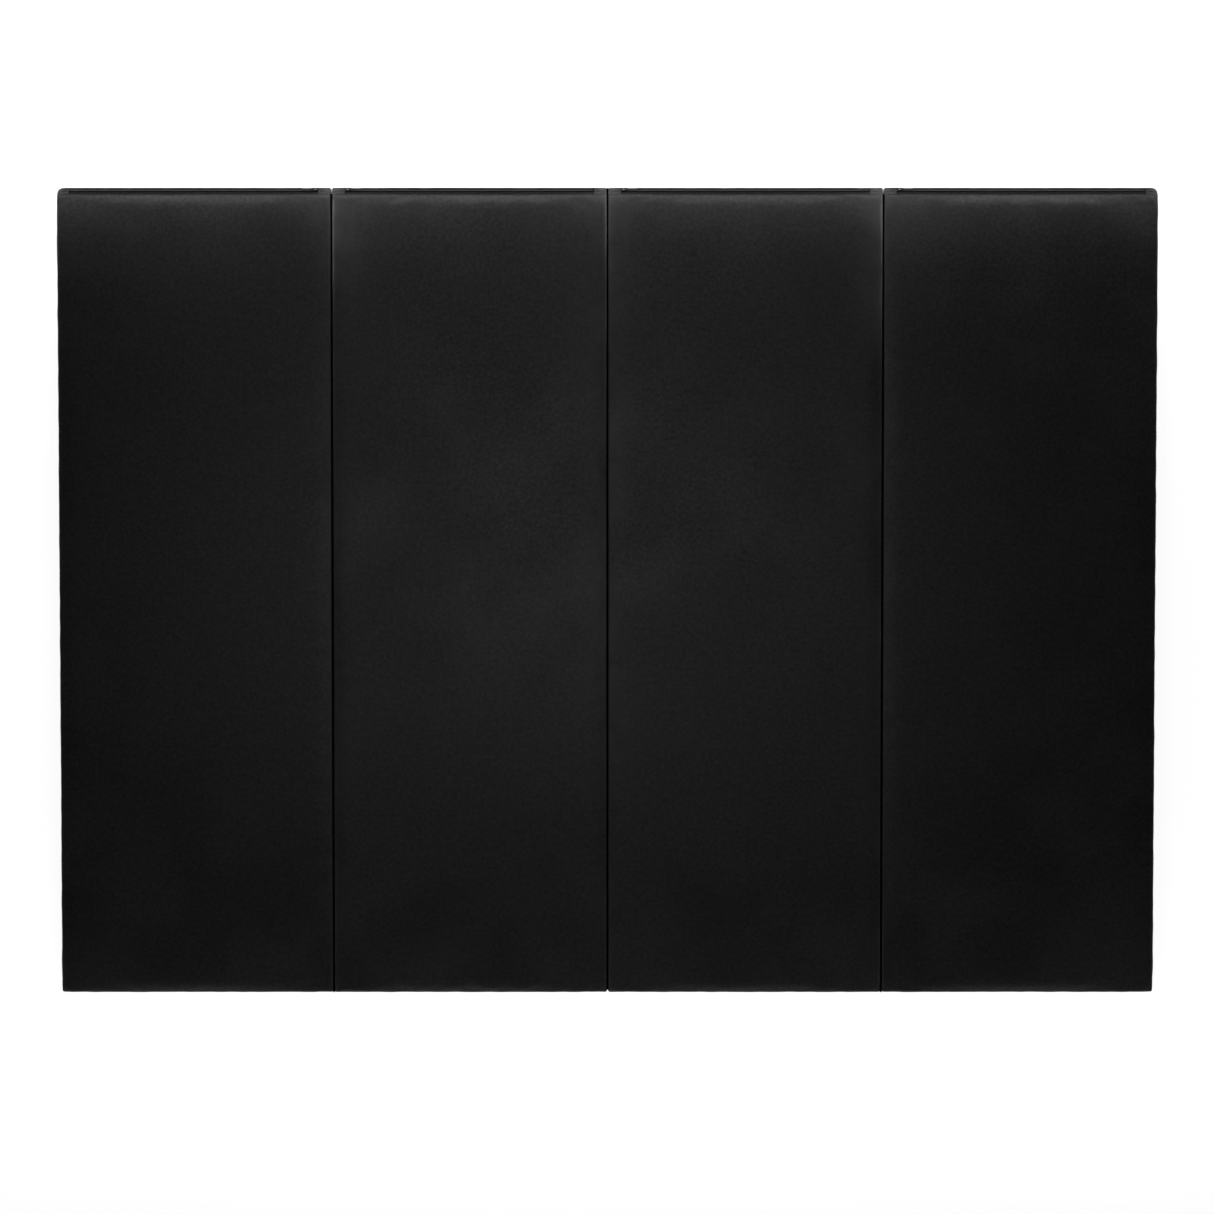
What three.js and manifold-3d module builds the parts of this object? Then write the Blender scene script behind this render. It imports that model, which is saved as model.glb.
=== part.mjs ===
// A four-panel folding gym mat lying open: foam slabs in zipped vinyl covers, joined by hinge strips.
// Millimetres, +Z up. The origin is in the middle of the footprint, on the floor.
// Panels 1 to 4 run left to right along X, and every panel's zip is in its +Y end wall.

import * as THREE from "three";
import { mergeVertices } from "three/addons/utils/BufferGeometryUtils.js";
import Module from "manifold-3d";

const wasm = await Module();
wasm.setup();

// ---- driving dimensions -------------------------------------------------------------------------

const MAT_WIDTH = 2438.4; // along X: 8 ft, four 2 ft panels
const MAT_LENGTH = 1828.8; // along Y: 6 ft
const MAT_THICKNESS = 50.8; // 2 in
const PANEL_COUNT = 4;
const FOLD_SLOT = 5; // open gap between neighbouring panels
const SHEET = 1; // vinyl thickness
const GAP = 0.3; // clearance between pieces that touch

const FACE_CORNER_RADIUS = 4; // the top and bottom sheets have nearly square corners
const WALL_CORNER_RADIUS = 12; // the gusset wraps round the foam's softer corners

const ZIP_CORNER_INSET = 27; // from a panel's side to the end of its zip
const ZIP_TAPE_HEIGHT = 17.6; // the tape that shows between the two zip gussets
const CHAIN_WIDTH = 6;
const CHAIN_HEIGHT = 1.2; // how far the closed teeth stand out of the tape

const SLIDER_LENGTH = 12;
const SLIDER_WIDTH = 9.2;
const SLIDER_NOSE_WIDTH = 6.4; // the end that leads when the zip opens
const SLIDER_PLATE = 1.4;
const SLIDER_BEVEL = 1.5;
const SLIDER_PARK_MARGIN = 9; // from the zip's end to the parked slider's middle

const CROWN_LENGTH = 10; // the bridge that holds the pull
const CROWN_WIDTH = 2.4;
const CROWN_HEIGHT = 3.4;
const CROWN_BAR = 1.1;

const PULL_REACH = 27; // from the pivot to the tab's round end
const PULL_WIDTH = 6.4;
const PULL_THICKNESS = 1.2;
const PULL_WINDOW_LENGTH = 5.9;
const PULL_WINDOW_WIDTH = 3.2;

const HINGE_FLANGE = 12; // how far a hinge strip runs down a panel's side
const HINGE_FLANGE_THICKNESS = 0.8;
const HINGE_END_MARGIN = 4; // the strip stops this far short of the panels' corners

// ---- worked-out dimensions ----------------------------------------------------------------------

const PANEL_WIDTH = (MAT_WIDTH - (PANEL_COUNT - 1) * FOLD_SLOT) / PANEL_COUNT;
const PANEL_PITCH = PANEL_WIDTH + FOLD_SLOT;
const WALL_BOTTOM = SHEET + GAP;
const WALL_HEIGHT = MAT_THICKNESS - 2 * WALL_BOTTOM;
const FOAM_LAYER = (WALL_HEIGHT - GAP) / 2;
const ZIP_HALF_LENGTH = PANEL_WIDTH / 2 - ZIP_CORNER_INSET;
const ZIP_GUSSET_HEIGHT = (WALL_HEIGHT - ZIP_TAPE_HEIGHT) / 2 - GAP;
const SLIDER_LIFT = CHAIN_HEIGHT + GAP; // the underside of the slider's plate, out from the wall
const SLIDER_TOP = SLIDER_LIFT + SLIDER_PLATE;
const PULL_LIFT = SLIDER_TOP + (CROWN_HEIGHT - CROWN_BAR) / 2;
const ZIP_STAND_OUT = SLIDER_TOP + CROWN_HEIGHT;

// The sliders stand out of the +Y walls only, so the panels sit back by half of that.
const PANEL_SETBACK = ZIP_STAND_OUT / 2;

// The end of the zip at which each panel's slider is parked: 1 is +X, -1 is -X.
const PARKED_SIDE = [1, -1, -1, -1];

// The first and last seams hinge at the top face and the middle one at the bottom: an accordion fold.
const SEAM_HINGES_ON_TOP = [true, false, true];

// ---- materials ----------------------------------------------------------------------------------

const material = (color, roughness, metalness) =>
  new THREE.MeshStandardMaterial({ color, roughness, metalness });

const blackVinyl = () => material(0x17181a, 0.5, 0);
const coreFoam = () => material(0x6d7278, 0.95, 0);
const blackWebbing = () => material(0x0f0f10, 0.85, 0);
const zipTapeCloth = () => material(0x101011, 0.9, 0);
const zipMetal = () => material(0x2a2b2d, 0.35, 0.8);

// ---- geometry helpers ---------------------------------------------------------------------------

function mesh(name, geometry, surface) {
  const piece = new THREE.Mesh(geometry, surface);
  piece.name = name;
  return piece;
}

function extrude(shape, depth) {
  return new THREE.ExtrudeGeometry(shape, { depth, bevelEnabled: false, curveSegments: 3 });
}

/** A closed geometry as a manifold solid: only its positions, with the shared vertices merged. */
function solidOf(geometry) {
  const bare = geometry.clone();
  bare.deleteAttribute("normal");
  bare.deleteAttribute("uv");
  const merged = mergeVertices(bare, 1e-4);
  const vertProperties = new Float32Array(merged.attributes.position.array);
  const triVerts = new Uint32Array(merged.index.array);
  return new wasm.Manifold(new wasm.Mesh({ numProp: 3, vertProperties, triVerts }));
}

function geometryOf(solid) {
  const { vertProperties, triVerts } = solid.getMesh();
  const geometry = new THREE.BufferGeometry();
  geometry.setAttribute("position", new THREE.BufferAttribute(vertProperties, 3));
  geometry.setIndex(new THREE.BufferAttribute(triVerts, 1));
  const faceted = geometry.toNonIndexed();
  faceted.computeVertexNormals();
  return faceted;
}

/** A rectangle centred on the origin with round corners. */
function roundedRectangle(width, length, radius) {
  const x = width / 2 - radius;
  const y = length / 2 - radius;
  const shape = new THREE.Shape();
  shape.absarc(x, y, radius, 0, Math.PI / 2);
  shape.absarc(-x, y, radius, Math.PI / 2, Math.PI);
  shape.absarc(-x, -y, radius, Math.PI, 1.5 * Math.PI);
  shape.absarc(x, -y, radius, 1.5 * Math.PI, 2 * Math.PI);
  shape.closePath();
  return shape;
}

/** A flat rectangle, from its lower left corner. */
function rectangle(left, bottom, width, height) {
  const shape = new THREE.Shape();
  shape.moveTo(left, bottom);
  shape.lineTo(left + width, bottom);
  shape.lineTo(left + width, bottom + height);
  shape.lineTo(left, bottom + height);
  shape.closePath();
  return shape;
}

/** Turns a section drawn as (out of the end wall, up) and extruded so that it runs along +X. */
function runAlongX(geometry, startX) {
  const drawnToMat = new THREE.Matrix4().makeBasis(
    new THREE.Vector3(0, 1, 0),
    new THREE.Vector3(0, 0, 1),
    new THREE.Vector3(1, 0, 0),
  );
  return geometry.applyMatrix4(drawnToMat).translate(startX, 0, 0);
}

/** Turns a section drawn as (across, up) and extruded so that it runs along +Y, centred. */
function runAlongY(geometry, length) {
  const drawnToMat = new THREE.Matrix4().makeBasis(
    new THREE.Vector3(1, 0, 0),
    new THREE.Vector3(0, 0, 1),
    new THREE.Vector3(0, -1, 0),
  );
  return geometry.applyMatrix4(drawnToMat).translate(0, length / 2, 0);
}

// ---- the foam core ------------------------------------------------------------------------------

/** Two foam slabs laid on each other fill the cover. */
function foamCore(number) {
  const outline = roundedRectangle(
    PANEL_WIDTH - 2 * WALL_BOTTOM,
    MAT_LENGTH - 2 * WALL_BOTTOM,
    WALL_CORNER_RADIUS - WALL_BOTTOM,
  );
  const lower = mesh(`foam_lower_${number}`, extrude(outline, FOAM_LAYER), coreFoam());
  lower.position.z = WALL_BOTTOM;
  const upper = mesh(`foam_upper_${number}`, extrude(outline, FOAM_LAYER), coreFoam());
  upper.position.z = WALL_BOTTOM + FOAM_LAYER + GAP;
  return [lower, upper];
}

// ---- the vinyl cover ----------------------------------------------------------------------------

/** The sheet that makes a panel's top or bottom face. */
function coverSheet(name, z) {
  const outline = roundedRectangle(PANEL_WIDTH, MAT_LENGTH, FACE_CORNER_RADIUS);
  const sheet = mesh(name, extrude(outline, SHEET), blackVinyl());
  sheet.position.z = z;
  return sheet;
}

/** The wall strip from one end of the zip, round both sides and the far end, to the other end. */
function gussetOutline() {
  const x = PANEL_WIDTH / 2 - WALL_CORNER_RADIUS;
  const y = MAT_LENGTH / 2 - WALL_CORNER_RADIUS;
  const outer = WALL_CORNER_RADIUS;
  const inner = WALL_CORNER_RADIUS - SHEET;
  const zipEnd = ZIP_HALF_LENGTH + GAP;
  const quarter = Math.PI / 2;
  const shape = new THREE.Shape();
  shape.moveTo(zipEnd, MAT_LENGTH / 2 - SHEET);
  shape.absarc(x, y, inner, quarter, 0, true);
  shape.absarc(x, -y, inner, 0, -quarter, true);
  shape.absarc(-x, -y, inner, -quarter, -2 * quarter, true);
  shape.absarc(-x, y, inner, 2 * quarter, quarter, true);
  shape.lineTo(-zipEnd, MAT_LENGTH / 2 - SHEET);
  shape.lineTo(-zipEnd, MAT_LENGTH / 2);
  shape.absarc(-x, y, outer, quarter, 2 * quarter);
  shape.absarc(-x, -y, outer, -2 * quarter, -quarter);
  shape.absarc(x, -y, outer, -quarter, 0);
  shape.absarc(x, y, outer, 0, quarter);
  shape.lineTo(zipEnd, MAT_LENGTH / 2);
  shape.closePath();
  return shape;
}

function sideGusset(number) {
  const gusset = mesh(`side_gusset_${number}`, extrude(gussetOutline(), WALL_HEIGHT), blackVinyl());
  gusset.position.z = WALL_BOTTOM;
  return gusset;
}

/** The narrow vinyl strip above or below the zip. */
function zipGusset(name, z) {
  const section = rectangle(-SHEET, 0, SHEET, ZIP_GUSSET_HEIGHT);
  const strip = runAlongX(extrude(section, 2 * ZIP_HALF_LENGTH), -ZIP_HALF_LENGTH);
  const gusset = mesh(name, strip, blackVinyl());
  gusset.position.set(0, MAT_LENGTH / 2, z);
  return gusset;
}

function cover(number) {
  const upperGussetZ = MAT_THICKNESS - WALL_BOTTOM - ZIP_GUSSET_HEIGHT;
  return [
    coverSheet(`cover_bottom_${number}`, 0),
    coverSheet(`cover_top_${number}`, MAT_THICKNESS - SHEET),
    sideGusset(number),
    zipGusset(`zip_gusset_lower_${number}`, WALL_BOTTOM),
    zipGusset(`zip_gusset_upper_${number}`, upperGussetZ),
  ];
}

// ---- the zip ------------------------------------------------------------------------------------

/** The two tapes and the closed teeth between them, as one strip with a raised middle. */
function zipTape(number) {
  const half = ZIP_TAPE_HEIGHT / 2;
  const chain = CHAIN_WIDTH / 2;
  const section = new THREE.Shape();
  section.moveTo(-SHEET, -half);
  section.lineTo(0, -half);
  section.lineTo(0, -chain);
  section.lineTo(CHAIN_HEIGHT, -chain);
  section.lineTo(CHAIN_HEIGHT, chain);
  section.lineTo(0, chain);
  section.lineTo(0, half);
  section.lineTo(-SHEET, half);
  section.closePath();
  const strip = runAlongX(extrude(section, 2 * ZIP_HALF_LENGTH), -ZIP_HALF_LENGTH);
  const tape = mesh(`zip_tape_${number}`, strip, zipTapeCloth());
  tape.position.set(0, MAT_LENGTH / 2, MAT_THICKNESS / 2);
  return tape;
}

/** A plate with two flanges that lap the teeth, before it is trimmed to its tapered outline. */
function sliderChannel() {
  const half = SLIDER_WIDTH / 2;
  const channel = CHAIN_WIDTH / 2 + GAP;
  const section = new THREE.Shape();
  section.moveTo(GAP, -half);
  section.lineTo(SLIDER_TOP, -half);
  section.lineTo(SLIDER_TOP, half);
  section.lineTo(GAP, half);
  section.lineTo(GAP, channel);
  section.lineTo(SLIDER_LIFT, channel);
  section.lineTo(SLIDER_LIFT, -channel);
  section.lineTo(GAP, -channel);
  section.closePath();
  return runAlongX(extrude(section, SLIDER_LENGTH), -SLIDER_LENGTH / 2);
}

/** The slider's outline seen from outside: wide shoulders at +X, a narrow nose at -X. */
function sliderOutline() {
  const length = SLIDER_LENGTH / 2;
  const nose = SLIDER_NOSE_WIDTH / 2 + CHAIN_WIDTH / 4;
  const shoulder = SLIDER_WIDTH / 2;
  const shape = new THREE.Shape();
  shape.moveTo(-length, -nose + SLIDER_BEVEL);
  shape.lineTo(-length + SLIDER_BEVEL, -nose);
  shape.quadraticCurveTo(0, -nose, length / 2, -shoulder);
  shape.lineTo(length - SLIDER_BEVEL, -shoulder);
  shape.lineTo(length, -shoulder + SLIDER_BEVEL);
  shape.lineTo(length, shoulder - SLIDER_BEVEL);
  shape.lineTo(length - SLIDER_BEVEL, shoulder);
  shape.lineTo(length / 2, shoulder);
  shape.quadraticCurveTo(0, nose, -length + SLIDER_BEVEL, nose);
  shape.lineTo(-length, nose - SLIDER_BEVEL);
  shape.closePath();
  return shape;
}

/** Turns a shape drawn as (along X, up) so that its depth runs out of the end wall, along +Y. */
function standOut(geometry, fromY) {
  const drawnToMat = new THREE.Matrix4().makeBasis(
    new THREE.Vector3(1, 0, 0),
    new THREE.Vector3(0, 0, 1),
    new THREE.Vector3(0, -1, 0),
  );
  const depth = new THREE.Box3().setFromBufferAttribute(geometry.attributes.position).max.z;
  return geometry.applyMatrix4(drawnToMat).translate(0, fromY + depth, 0);
}

/** The bridge over the slider: an arch along X that the pull's bar passes under. */
function crown() {
  const half = CROWN_LENGTH / 2;
  const sunk = SLIDER_PLATE / 2; // how far the arch's feet reach into the plate
  const shape = new THREE.Shape();
  shape.moveTo(-half, -sunk);
  shape.lineTo(-half, CROWN_HEIGHT / 2);
  shape.absellipse(-half / 2, CROWN_HEIGHT / 2, half / 2, CROWN_HEIGHT / 2, Math.PI, Math.PI / 2, true);
  shape.absellipse(half / 2, CROWN_HEIGHT / 2, half / 2, CROWN_HEIGHT / 2, Math.PI / 2, 0, true);
  shape.lineTo(half, -sunk);
  shape.lineTo(half - CROWN_BAR, -sunk);
  shape.lineTo(half - CROWN_BAR, CROWN_HEIGHT - CROWN_BAR);
  shape.lineTo(-half + CROWN_BAR, CROWN_HEIGHT - CROWN_BAR);
  shape.lineTo(-half + CROWN_BAR, -sunk);
  shape.closePath();
  return extrude(shape, CROWN_WIDTH).translate(0, SLIDER_TOP, -CROWN_WIDTH / 2);
}

function sliderGeometry() {
  const outline = standOut(extrude(sliderOutline(), SLIDER_TOP), 0);
  const body = solidOf(sliderChannel()).intersect(solidOf(outline));
  return geometryOf(body.add(solidOf(crown())));
}

/** A flat tab that reaches along -X from its pivot bar, with a window round the crown. */
function pullGeometry() {
  const half = PULL_WIDTH / 2;
  const bar = PULL_THICKNESS / 2;
  const shape = new THREE.Shape();
  shape.moveTo(bar, -half);
  shape.lineTo(bar, half);
  shape.lineTo(-PULL_REACH + half, half);
  shape.absarc(-PULL_REACH + half, 0, half, Math.PI / 2, 1.5 * Math.PI);
  shape.closePath();
  const windowLeft = -bar - PULL_WINDOW_LENGTH;
  const windowBottom = -PULL_WINDOW_WIDTH / 2;
  shape.holes.push(rectangle(windowLeft, windowBottom, PULL_WINDOW_LENGTH, PULL_WINDOW_WIDTH));
  return standOut(extrude(shape, PULL_THICKNESS), -PULL_THICKNESS / 2);
}

/** The slider parked at one end of the zip, nose inward, its pull laid back over the teeth. */
function sliderAndPull(number, side) {
  const slider = mesh(`zip_slider_${number}`, sliderGeometry(), zipMetal());
  const pull = mesh(`zip_pull_${number}`, pullGeometry(), zipMetal());
  pull.position.y = PULL_LIFT;
  const parked = new THREE.Group();
  parked.add(slider, pull);
  parked.rotation.y = side > 0 ? 0 : Math.PI;
  parked.position.x = side * (ZIP_HALF_LENGTH - SLIDER_PARK_MARGIN);
  parked.position.y = MAT_LENGTH / 2;
  parked.position.z = MAT_THICKNESS / 2;
  return parked;
}

// ---- the hinge strips ---------------------------------------------------------------------------

/** Half of a hinge strip: it lies across its half of the slot and is sewn down one panel's side. */
function hingeLeafSection(side, onTop) {
  const wall = FOLD_SLOT / 2 - GAP;
  const middle = GAP / 2;
  const flange = wall - HINGE_FLANGE_THICKNESS;
  const face = onTop ? MAT_THICKNESS - GAP : GAP;
  const inward = onTop ? -1 : 1;
  const corners = [
    [middle, face],
    [wall, face],
    [wall, face + inward * HINGE_FLANGE],
    [flange, face + inward * HINGE_FLANGE],
    [flange, face + inward * SHEET],
    [middle, face + inward * SHEET],
  ];
  return new THREE.Shape(corners.map(([x, z]) => new THREE.Vector2(side * x, z)));
}

function hingeStrip(seam, onTop) {
  const length = MAT_LENGTH - 2 * HINGE_END_MARGIN;
  const leaf = (name, side) =>
    mesh(name, runAlongY(extrude(hingeLeafSection(side, onTop), length), length), blackWebbing());
  return [leaf(`hinge_${seam}_left_leaf`, -1), leaf(`hinge_${seam}_right_leaf`, 1)];
}

// ---- assembly -----------------------------------------------------------------------------------

function panel(number) {
  const group = new THREE.Group();
  group.add(...foamCore(number), ...cover(number), zipTape(number));
  group.add(sliderAndPull(number, PARKED_SIDE[number - 1]));
  group.position.x = (number - (PANEL_COUNT + 1) / 2) * PANEL_PITCH;
  return group;
}

function seam(number) {
  const group = new THREE.Group();
  group.add(...hingeStrip(number, SEAM_HINGES_ON_TOP[number - 1]));
  group.position.x = (number - PANEL_COUNT / 2) * PANEL_PITCH;
  return group;
}

const mat = new THREE.Group();
for (let number = 1; number <= PANEL_COUNT; number += 1) mat.add(panel(number));
for (let number = 1; number < PANEL_COUNT; number += 1) mat.add(seam(number));
mat.position.y = -PANEL_SETBACK;

export default mat;
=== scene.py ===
import math

import bmesh
import bpy
import numpy as np
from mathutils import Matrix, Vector, noise
from mathutils.bvhtree import BVHTree


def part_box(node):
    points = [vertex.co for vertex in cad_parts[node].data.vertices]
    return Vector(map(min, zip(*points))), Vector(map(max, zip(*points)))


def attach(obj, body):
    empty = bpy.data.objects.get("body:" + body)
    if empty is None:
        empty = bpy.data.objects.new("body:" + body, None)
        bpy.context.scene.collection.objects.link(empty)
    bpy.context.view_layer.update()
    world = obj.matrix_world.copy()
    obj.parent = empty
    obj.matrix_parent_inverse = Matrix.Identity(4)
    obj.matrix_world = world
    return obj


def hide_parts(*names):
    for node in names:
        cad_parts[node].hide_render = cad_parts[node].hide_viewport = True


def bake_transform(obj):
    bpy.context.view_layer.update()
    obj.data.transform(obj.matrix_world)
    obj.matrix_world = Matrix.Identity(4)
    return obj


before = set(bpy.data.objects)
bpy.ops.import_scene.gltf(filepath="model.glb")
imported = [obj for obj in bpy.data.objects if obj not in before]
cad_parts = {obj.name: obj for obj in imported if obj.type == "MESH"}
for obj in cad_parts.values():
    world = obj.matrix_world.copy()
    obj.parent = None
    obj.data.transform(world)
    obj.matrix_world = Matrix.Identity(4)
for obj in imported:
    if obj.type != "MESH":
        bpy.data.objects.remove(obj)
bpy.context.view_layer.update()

# A folding gym mat: four foam panels in zipped black vinyl covers, joined by three webbing hinges.

MM = 0.001
PANELS = (1, 2, 3, 4)
SEAMS = (1, 2, 3)

# ---- the frame's own measures -------------------------------------------------------------------


def panel_box(n):
    """Lowest and highest corner of a panel's cover."""
    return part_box(f"cover_bottom_{n}")[0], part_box(f"cover_top_{n}")[1]


def scaled(values):
    """Millimetres to metres."""
    return [v * MM for v in values]


# ---- materials ----------------------------------------------------------------------------------

# A Mix node has sockets for numbers, vectors and colours. These are its factor and its colours A and B.
MIX_COLOUR_INPUTS = (0, 6, 7)
MIX_COLOUR_RESULT = 2


class Shader:
    """A Principled material and short calls that add nodes to it."""

    def __init__(self, name, **sockets):
        self.material = bpy.data.materials.new(name)
        self.material.use_nodes = True
        self.tree = self.material.node_tree
        self.surface = self.tree.nodes["Principled BSDF"]
        for socket, value in sockets.items():
            self.surface.inputs[socket.replace("_", " ")].default_value = value
        self.place = self.node("ShaderNodeTexCoord").outputs["Object"]

    def node(self, kind, **settings):
        made = self.tree.nodes.new(kind)
        for key, value in settings.items():
            if key in made.inputs:
                made.inputs[key].default_value = value
            else:
                setattr(made, key, value)
        return made

    def link(self, output, target):
        self.tree.links.new(output, target)

    def noise(self, scale, detail=2.0, roughness=0.5):
        made = self.node("ShaderNodeTexNoise", Scale=scale, Detail=detail, Roughness=roughness)
        self.link(self.place, made.inputs["Vector"])
        return made.outputs["Fac"]

    def cells(self, scale, feature="DISTANCE_TO_EDGE"):
        made = self.node("ShaderNodeTexVoronoi", feature=feature, Scale=scale)
        self.link(self.place, made.inputs["Vector"])
        return made.outputs["Distance"]

    def bands(self, scale, direction):
        made = self.node("ShaderNodeTexWave", Scale=scale, bands_direction=direction)
        self.link(self.place, made.inputs["Vector"])
        return made.outputs["Fac"]

    def attribute(self, name):
        return self.node("ShaderNodeAttribute", attribute_name=name).outputs["Fac"]

    def ramp(self, value, low, high, from_value=0.0, to_value=1.0):
        """value, with low..high stretched to from_value..to_value."""
        made = self.node("ShaderNodeMapRange")
        self.link(value, made.inputs["Value"])
        made.inputs["From Min"].default_value = low
        made.inputs["From Max"].default_value = high
        made.inputs["To Min"].default_value = from_value
        made.inputs["To Max"].default_value = to_value
        return made.outputs["Result"]

    def maths(self, operation, a, b):
        made = self.node("ShaderNodeMath", operation=operation)
        for socket, value in zip(made.inputs, (a, b)):
            if isinstance(value, (int, float)):
                socket.default_value = value
            else:
                self.link(value, socket)
        return made.outputs["Value"]

    def colours(self, share, dark, light):
        """A mix of two colours, each given as three numbers or as another node's output."""
        made = self.node("ShaderNodeMix", data_type="RGBA")
        factor, first, second = (made.inputs[i] for i in MIX_COLOUR_INPUTS)
        self.link(share, factor)
        for socket, colour in ((first, dark), (second, light)):
            if isinstance(colour, tuple):
                socket.default_value = (*colour, 1)
            else:
                self.link(colour, socket)
        return made.outputs[MIX_COLOUR_RESULT]

    def bump(self, height, distance, strength=1.0, under=None):
        made = self.node("ShaderNodeBump", Strength=strength, Distance=distance)
        self.link(height, made.inputs["Height"])
        if under is not None:
            self.link(under, made.inputs["Normal"])
        return made.outputs["Normal"]

    def to(self, socket, output):
        self.link(output, self.surface.inputs[socket])
        return self


RUBBED_AND_SHEEN_GREY = 0.045  # the grey of rubbed vinyl, also used for painted sheen beside the folds and painted glints at the far corners
FOLD_HIGHLIGHT_GREY = 0.16  # a painted highlight on the fold edges


def vinyl(name, gloss, dullness, dark=0.0002, light=0.021):
    """Black coated fabric: pebble grain over a weave, cloudy patches of gloss, rubbed seams, and painted
    sheen, glints and fold highlights.

    dark and light are the ends of its grey. The point attribute read here is 0 on new vinyl, 1 where it is
    rubbed and where sheen and glints are painted, and 2 where a highlight is painted on a fold edge.
    """
    s = Shader(name, Specular_IOR_Level=gloss)
    clouds = s.noise(5.0, 3.0, 0.55)
    mottle = s.noise(120.0, 2.5, 0.6)
    speckle = s.noise(150.0, 4.0, 0.75)
    spots = s.ramp(mottle, 0.36, 0.64, 0.0, 0.5)
    fine = s.maths("ADD", spots, s.ramp(speckle, 0.4, 0.6, 0.0, 0.45))
    tone = s.maths("ADD", s.ramp(clouds, 0.40, 0.60, 0.0, 0.1), fine)
    black = s.colours(tone, (dark, dark, dark), (light, light, 1.02 * light))
    wear_and_painted_light = s.attribute("wear_and_painted_light")
    # Real rubbing mixed with painted sheen and painted glints, in one grey
    rubbed_and_lit = s.colours(wear_and_painted_light, black, (RUBBED_AND_SHEEN_GREY, RUBBED_AND_SHEEN_GREY, 1.02 * RUBBED_AND_SHEEN_GREY))
    # A painted highlight on the fold edges, where the attribute passes 1
    painted_highlight = s.ramp(wear_and_painted_light, 1.0, 2.0)
    s.to("Base Color", s.colours(painted_highlight, rubbed_and_lit, (FOLD_HIGHLIGHT_GREY, FOLD_HIGHLIGHT_GREY, FOLD_HIGHLIGHT_GREY)))
    cloudy = s.ramp(clouds, 0.38, 0.62, 0.38, 0.47)
    patches = s.maths("ADD", cloudy, s.ramp(mottle, 0.3, 0.7, 0.02, -0.02))
    s.to("Roughness", s.maths("ADD", patches, s.ramp(speckle, 0.3, 0.7, dullness + 0.05, dullness - 0.05)))
    pebbles = s.ramp(s.cells(620.0), 0.0, 0.25)
    weave = s.maths("MULTIPLY", s.bands(190.0, "X"), s.bands(190.0, "Y"))
    grain = s.bump(pebbles, 0.00012, 0.5)
    cloth = s.bump(weave, 0.00005, 0.35, grain)
    s.to("Normal", s.bump(speckle, 0.0006, 0.6, cloth))
    return s.material


def webbing():
    """Flat black woven strip with fine cross ribs, darker than black cloth is: a painted shade, so that the
    shallow bridge looks like a deep slot.
    """
    s = Shader("hinge_webbing", Roughness=0.95, Specular_IOR_Level=0.08)
    ribs = s.maths("MULTIPLY", s.bands(330.0, "Y"), s.bands(420.0, "X"))
    # Near-black colour: black webbing, darkened further as painted slot shade
    s.to("Base Color", s.colours(ribs, (0.0004, 0.0004, 0.0004), (0.0014, 0.0014, 0.0014)))
    s.to("Normal", s.bump(ribs, 0.0003, 0.6))
    return s.material


def zip_cloth():
    """Black woven zip tape with a herringbone rib."""
    s = Shader("zip_cloth", Roughness=0.9, Specular_IOR_Level=0.08)
    ribs = s.maths("MULTIPLY", s.bands(500.0, "X"), s.bands(700.0, "Z"))
    s.to("Base Color", s.colours(ribs, (0.0015, 0.0015, 0.0016), (0.006, 0.006, 0.0062)))
    s.to("Normal", s.bump(ribs, 0.0002, 0.5))
    return s.material


def zip_nylon():
    """Moulded zip teeth: dark nylon with a soft shine."""
    s = Shader("zip_nylon", Roughness=0.35, Specular_IOR_Level=0.5)
    s.to("Base Color", s.colours(s.noise(900.0), (0.003, 0.003, 0.003), (0.009, 0.009, 0.009)))
    s.to("Roughness", s.ramp(s.noise(400.0), 0.3, 0.7, 0.28, 0.45))
    return s.material


def slider_metal():
    """Black enamelled zinc, rubbed to grey in places."""
    s = Shader("slider_metal", Roughness=0.35, Metallic=0.6)
    rub = s.ramp(s.noise(420.0, 5.0, 0.65), 0.45, 0.85)
    s.to("Base Color", s.colours(rub, (0.014, 0.014, 0.015), (0.06, 0.06, 0.062)))
    s.to("Roughness", s.ramp(rub, 0.0, 1.0, 0.28, 0.5))
    s.to("Normal", s.bump(s.noise(1500.0), 0.00003, 0.4))
    return s.material


def thread():
    """Bonded black sewing thread with its twist."""
    s = Shader("thread", Roughness=0.6, Specular_IOR_Level=0.4)
    twist = s.bands(2500.0, "DIAGONAL")
    s.to("Base Color", s.colours(twist, (0.006, 0.006, 0.006), (0.02, 0.02, 0.02)))
    s.to("Normal", s.bump(twist, 0.0001, 0.5))
    return s.material


def closed_cell_foam():
    """Charcoal closed-cell foam with a fine skin of bubbles."""
    s = Shader("closed_cell_foam", Roughness=0.92, Specular_IOR_Level=0.3)
    bubbles = s.cells(700.0, "F1")
    s.to("Base Color", s.colours(s.noise(40.0, 4.0), (0.045, 0.048, 0.052), (0.07, 0.074, 0.08)))
    s.to("Normal", s.bump(bubbles, 0.0004, 0.7))
    return s.material


FLOOR_GLOW = 0.9
GAP_SHADE_REACH = 0.05  # how wide a gap may be for the floor in it to get painted shade


def pale_floor():
    """White paper that glows a little, with its glow dimmed in the narrow gaps under and between the
    panels: a painted shade there.
    """
    s = Shader("pale_floor", Roughness=0.9, Specular_IOR_Level=0.1, Emission_Color=(1, 1, 1, 1))
    s.to("Base Color", s.colours(s.noise(1.5), (0.80, 0.80, 0.80), (0.82, 0.82, 0.82)))
    openness = s.node("ShaderNodeAmbientOcclusion", Distance=GAP_SHADE_REACH).outputs["AO"]
    # Painted shade: ambient occlusion dims the floor's glow in gaps and under the mat
    s.to("Emission Strength", s.ramp(openness, 0.08, 0.42, 0.0, FLOOR_GLOW))
    return s.material


# ---- the slab: a closed grid over a panel -------------------------------------------------------

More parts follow.
